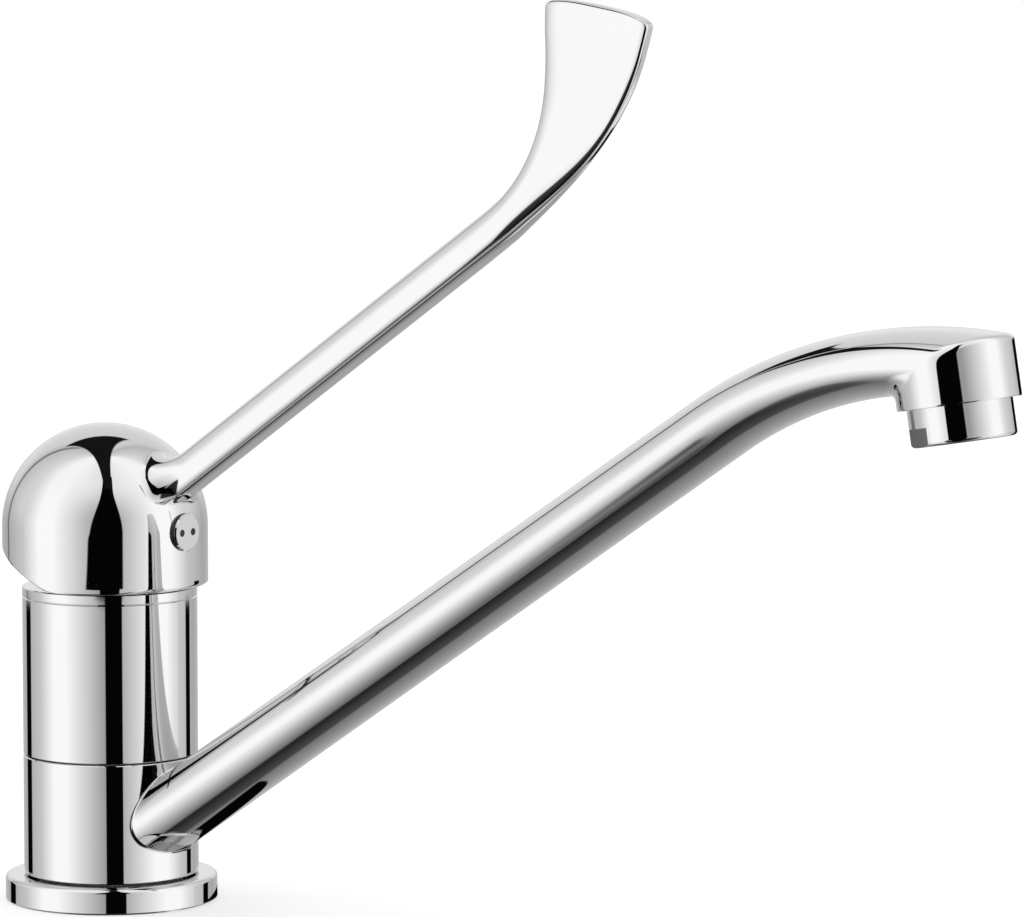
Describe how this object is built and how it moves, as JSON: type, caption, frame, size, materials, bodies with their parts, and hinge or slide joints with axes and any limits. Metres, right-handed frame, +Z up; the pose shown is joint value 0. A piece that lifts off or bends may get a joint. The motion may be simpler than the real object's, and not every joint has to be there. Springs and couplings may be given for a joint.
{
  "type": "elbow lever tap",
  "caption": "Deck-mounted single-lever sink tap in polished chrome with a swivelling cast spout and a long elbow lever that ends in an upright paddle.",
  "frame": {"origin": "on the deck plane, at the axis of the body", "axes": "+Z up along the body's axis, +X forward along the spout and the lever, the XZ plane is the plane of symmetry"},
  "size_m": [0.3187, 0.0582, 0.2498],
  "materials": {
    "chrome": "polished",
    "rubber": "matte",
    "acetal": "satin",
    "ceramic": "lapped",
    "steel": "bright",
    "brass": "turned",
    "red": "gloss",
    "blue": "gloss"
  },
  "bodies": {
    "fixed": {"base_flange": "chrome", "base_gasket": "rubber", "mixer_body": "chrome", "swivel_seals": "rubber", "lower_glide_ring": "acetal", "upper_glide_ring": "acetal", "port_seals": "rubber", "cartridge_base": "acetal", "fixed_disc": "ceramic", "cartridge_housing": "acetal", "cartridge_nut": "brass", "cover_ring": "chrome"},
    "spout": {"swivel_spout": "chrome", "aerator_washer": "rubber", "aerator_housing": "chrome", "aerator_insert": "acetal"},
    "turntable": {"turntable": "acetal", "stem_pin": "steel"},
    "lever": {"stem": "steel", "lever_handle": "chrome", "grub_screw": "steel", "indicator_plug": "chrome", "hot_dot": "red", "cold_dot": "blue"},
    "slider": {"moving_disc": "ceramic", "disc_carrier": "acetal"}
  },
  "joints": [
    {"name": "spout_swivel", "type": "hinge", "parent": "fixed", "child": "spout", "pos_m": [0, 0, 0.0236], "axis": [0, 0, 1], "continuous": true},
    {"name": "lever_turn", "type": "hinge", "parent": "fixed", "child": "turntable", "pos_m": [0, 0, 0.07472], "axis": [0, 0, 1], "range_deg": [-50, 50]},
    {"name": "lever_lift", "type": "hinge", "parent": "turntable", "child": "lever", "pos_m": [0, 0, 0.07472], "axis": [0, -1, 0], "range_deg": [0, 25]},
    {"name": "disc_slide", "type": "slide", "parent": "turntable", "child": "slider", "axis": [1, 0, 0], "range_m": [0, 0.0039]}
  ],
  "couplings": [
    {"joint": "disc_slide", "follows": "lever_lift", "m_per_rad": 0.008929}
  ]
}
